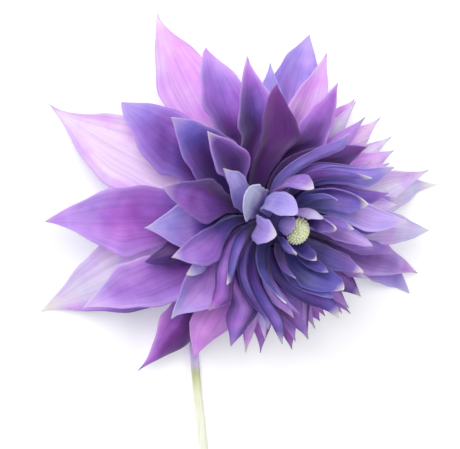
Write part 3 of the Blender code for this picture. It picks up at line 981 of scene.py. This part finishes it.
def petal_finish():
    finish = Finish("petal_skin")
    place = finish.add("UVMap", uv_map="petal")
    split = finish.add("SeparateXYZ")
    finish.join(place.outputs["UV"], split.inputs[0])
    along, across = split.outputs["X"], split.outputs["Y"]
    aside = finish.times(finish.math("ABSOLUTE", finish.minus(across, 0.5)), 2.0)
    tone, warmth, tip, side_shade, middle_shade, root_shade, cool = map(finish.attribute, CARRIED)
    under = finish.attribute("under")

    # Two soft patterns, which the petal's own values shift so that no two petals have the same
    spot = finish.place()
    own = finish.plus(finish.times(tone, 37.0), finish.times(warmth, 19.0))
    blotch = finish.minus(finish.noise(spot, BLOTCHES, detail=1.0, shift=own), 0.5)
    stain = finish.minus(finish.noise(spot, STAINS, detail=2.0, shift=own), 0.5)

    # How magenta: less so towards the tip and on the underside, and blotched
    cooling = finish.times(finish.math("MAXIMUM", finish.minus(along, COOLS_FROM), 0.0), 2.0)
    warmth = finish.minus(warmth, finish.times(cooling, cool))
    warmth = finish.plus(warmth, finish.times(blotch, BLOTCHED))
    warmth = finish.minus(warmth, finish.times(under, UNDER_COOLER))

    # How deep: more so towards the root, stained, and less so on the underside
    fall = finish.plus(finish.times(tone, 0.6), 0.1)
    depth = finish.plus(tone, finish.times(finish.minus(MIDDLE, along), fall))
    depth = finish.plus(depth, finish.times(stain, STAINED))
    depth = finish.minus(depth, finish.times(under, UNDER_PALER))

    # The darker side, middle and root, all fading before the tip: painted shade from neighbouring petals and
    # in hollows, partly the petal's own darker colour; a middle and a root below 0 are paler, a painted
    # highlight along a ridge and over a shaded root, partly a paler midrib
    signed = finish.times(finish.minus(across, 0.45), 2.2)
    half_dark = finish.math("MAXIMUM", finish.times(signed, side_shade), 0.0)
    fading = finish.math("MAXIMUM", finish.minus(SHADE_REACH, along), 0.0)
    depth = finish.plus(depth, finish.times(half_dark, fading))
    hollow = finish.times(finish.minus(1.0, finish.times(aside, aside)), middle_shade)
    depth = finish.plus(depth, finish.times(hollow, fading))
    low = finish.math("MAXIMUM", finish.minus(ROOT_REACH, along), 0.0)
    depth = finish.plus(depth, finish.times(low, root_shade))
    bluish = finish.ramp(depth, *zip(STEPS, BLUISH))
    magenta = finish.ramp(depth, *zip(STEPS, MAGENTA))
    colour = finish.mix(warmth, bluish, magenta)

    # The sides catch the light, those of the paler petals most
    side = finish.times(finish.math("POWER", aside, 3.0), finish.plus(stain, 0.28))
    side = finish.times(side, finish.minus(1.15, tone))
    colour = finish.mix(side, colour, EDGE)

    # Veins from the claw to the tip
    lines = finish.add("CombineXYZ")
    finish.fill(lines, {"X": finish.times(along, VEINS_ALONG), "Y": finish.times(across, VEINS_ACROSS)})
    veins = finish.noise(lines.outputs[0], 1.0, detail=3.0, roughness=0.6)
    shade = finish.ramp(veins, (0.36, grey(0.78)), (0.58, grey(1.0)))
    colour = finish.mix(VEIN_DARK, colour, shade, blend="MULTIPLY")

    # The pale tip, partly its own cream colour and partly a painted glint
    point = finish.ramp(along, (0.86, grey(0.0)), (0.99, grey(1.0)))
    colour = finish.mix(finish.times(point, tip), colour, CREAM_AND_GLINT)

    # A fine relief, and a skin that lets some light in
    bump = finish.add("Bump")
    finish.fill(bump, {"Strength": 0.5, "Distance": VEIN_RELIEF, "Height": veins})
    finish.fill(finish.shader, {
        "Base Color": colour, "Normal": bump.outputs["Normal"], "Roughness": 0.5,
        "Subsurface Weight": 0.5, "Subsurface Radius": (1.0, 0.55, 1.0), "Subsurface Scale": 0.9 * MM,
        "Sheen Weight": 0.15, "Specular IOR Level": 0.35,
    })
    return finish.material


def dress(piece, material):
    piece.data.materials.clear()
    piece.data.materials.append(material)


petal_skin = petal_finish()
for name, piece in petals.items():
    dress(piece, petal_skin)
print("finish:", petal_skin.name, "on", len(petals), "petals")

# %% [markdown]
# ## The finish of the stem, the hairs and the carpels
#
# The stem is pale green, darker just below the bloom, with a violet flush where it meets the petals, and
# inside the bloom, among the crowded petals, the receptacle gets painted shade, a dark violet. Its hairs are
# nearly white. The carpels are a pale yellow-green.

# %% Finishes for the stem, the hairs and the carpels
# The stretch of the table's length over which the stem changes colour, from the cut end to the bloom
STEM_FROM, STEM_TO = -72 * MM, 34 * MM


def stem_finish():
    finish = Finish("stem_skin")
    spot = finish.place()
    split = finish.add("SeparateXYZ")
    finish.join(spot, split.inputs[0])
    run = finish.add("MapRange")
    finish.fill(run, {"Value": split.outputs["Y"], "From Min": STEM_FROM, "From Max": STEM_TO})
    # The last stop is painted shade: dark violet on the receptacle inside the bloom, among the crowded petals
    green = finish.ramp(
        run.outputs["Result"],
        (0.0, srgb(254, 255, 240)), (0.6, srgb(252, 254, 232)), (0.64, srgb(240, 243, 210)),
        (0.68, srgb(200, 206, 156)), (0.7, srgb(222, 204, 248)), (0.8, srgb(196, 150, 236)),
        (0.9, srgb(70, 52, 120)),
    )
    streaks = finish.add("Mapping")
    finish.fill(streaks, {"Scale": (1600, 90, 1600), "Vector": spot})
    shade = finish.ramp(finish.noise(streaks.outputs[0], 1.0), (0.35, grey(0.86)), (0.6, grey(1.0)))
    colour = finish.mix(1.0, green, shade, blend="MULTIPLY")
    finish.fill(finish.shader, {
        "Base Color": colour, "Roughness": 0.55,
        "Subsurface Weight": 0.3, "Subsurface Radius": (0.8, 1.0, 0.5), "Subsurface Scale": 0.8 * MM,
    })
    return finish.material


def carpel_finish():
    finish = Finish("pistil_skin")
    patches = finish.noise(finish.place(), 1500.0)
    colour = finish.ramp(patches, (0.3, srgb(226, 232, 168)), (0.7, srgb(250, 252, 232)))
    finish.fill(finish.shader, {
        "Base Color": colour, "Roughness": 0.6, "Subsurface Weight": 0.3, "Subsurface Scale": 0.5 * MM,
    })
    return finish.material


def hair_finish():
    finish = Finish("silky_hair")
    shades = finish.noise(finish.place(), 400.0)
    colour = finish.ramp(shades, (0.35, srgb(226, 230, 204)), (0.65, srgb(252, 252, 248)))
    finish.fill(finish.shader, {"Base Color": colour, "Roughness": 0.4, "Sheen Weight": 0.3})
    return finish.material


for piece, material in ((stem, stem_finish()), (hairs, hair_finish()), (carpels, carpel_finish())):
    dress(piece, material)
    print("finish:", material.name, "on", piece.name)
bpy.data.objects.remove(petal_blank)

# %% [markdown]
# ## The table, the light and the camera
#
# The flower lies on a plain white table under soft, bright light. The camera looks down on it, a little from
# one side, from far away, which keeps the bloom's shape free of strong perspective.

# %% The table and the light
# The middle of the bloom, which the lamps point at
AIM = Vector((0, 0.03, 0.015))
TABLE_SIDE = 3


def make_table():
    bpy.ops.mesh.primitive_plane_add(size=TABLE_SIDE, location=(0, 0, 0))
    table = bpy.context.object
    table.name = "table"
    finish = Finish("table_white")
    finish.fill(finish.shader, {
        "Base Color": (0.92, 0.92, 0.93, 1), "Roughness": 0.8,
        "Emission Color": (1, 1, 1, 1), "Emission Strength": 0.2,
    })
    dress(table, finish.material)
    return table


def make_light(name, place, size, power):
    """A square lamp that points at the bloom."""
    bpy.ops.object.light_add(type="AREA", location=place)
    light = bpy.context.object
    light.name = name
    light.data.size = size
    light.data.energy = power
    light.rotation_euler = (AIM - Vector(place)).to_track_quat("-Z", "Y").to_euler()


table = make_table()
make_light("window", place=(-0.45, 0.45, 0.8), size=0.5, power=7.0)
make_light("fill", place=(0.6, 0.1, 0.7), size=0.8, power=2.3)
world = bpy.data.worlds.new("soft_room")
bpy.context.scene.world = world
world.use_nodes = True
background = world.node_tree.nodes["Background"]
background.inputs["Color"].default_value = (0.95, 0.96, 1.0, 1)
background.inputs["Strength"].default_value = 0.42
bpy.context.scene.view_settings.view_transform = "Standard"

# %% The camera
# How far it tilts from straight above, towards which bearing, and how far off it is
CAMERA_TILT, CAMERA_BEARING = 24, 155
DISTANCE = 420 * MM
# The size of a picture point at the bloom, the picture's size, and where the bloom's foot is in it
PIXEL = 0.19 * MM
FRAME = (460, 449)
BASE_PIXEL = (256, 214)
SENSOR = 36.0


def make_camera():
    tilt, side = math.radians(CAMERA_TILT), math.radians(CAMERA_BEARING)
    back = Vector((math.sin(tilt) * math.cos(side), math.sin(tilt) * math.sin(side), math.cos(tilt)))
    right = (-back).cross(Vector((0, 1, 0))).normalized()
    above = right.cross(-back)
    target = BLOOM_BASE - right * (BASE_PIXEL[0] - FRAME[0] / 2) * PIXEL
    target = target + above * (BASE_PIXEL[1] - FRAME[1] / 2) * PIXEL
    bpy.ops.object.camera_add()
    camera = bpy.context.object
    turn = Matrix((right, above, back)).transposed()
    camera.matrix_world = Matrix.Translation(target + back * DISTANCE) @ turn.to_4x4()
    camera.data.sensor_width = SENSOR
    camera.data.lens = DISTANCE / PIXEL * SENSOR / FRAME[0]
    camera.data.clip_start = 0.01
    return camera


camera = make_camera()
bpy.context.scene.camera = camera
print("lens:", round(camera.data.lens, 1), "mm")
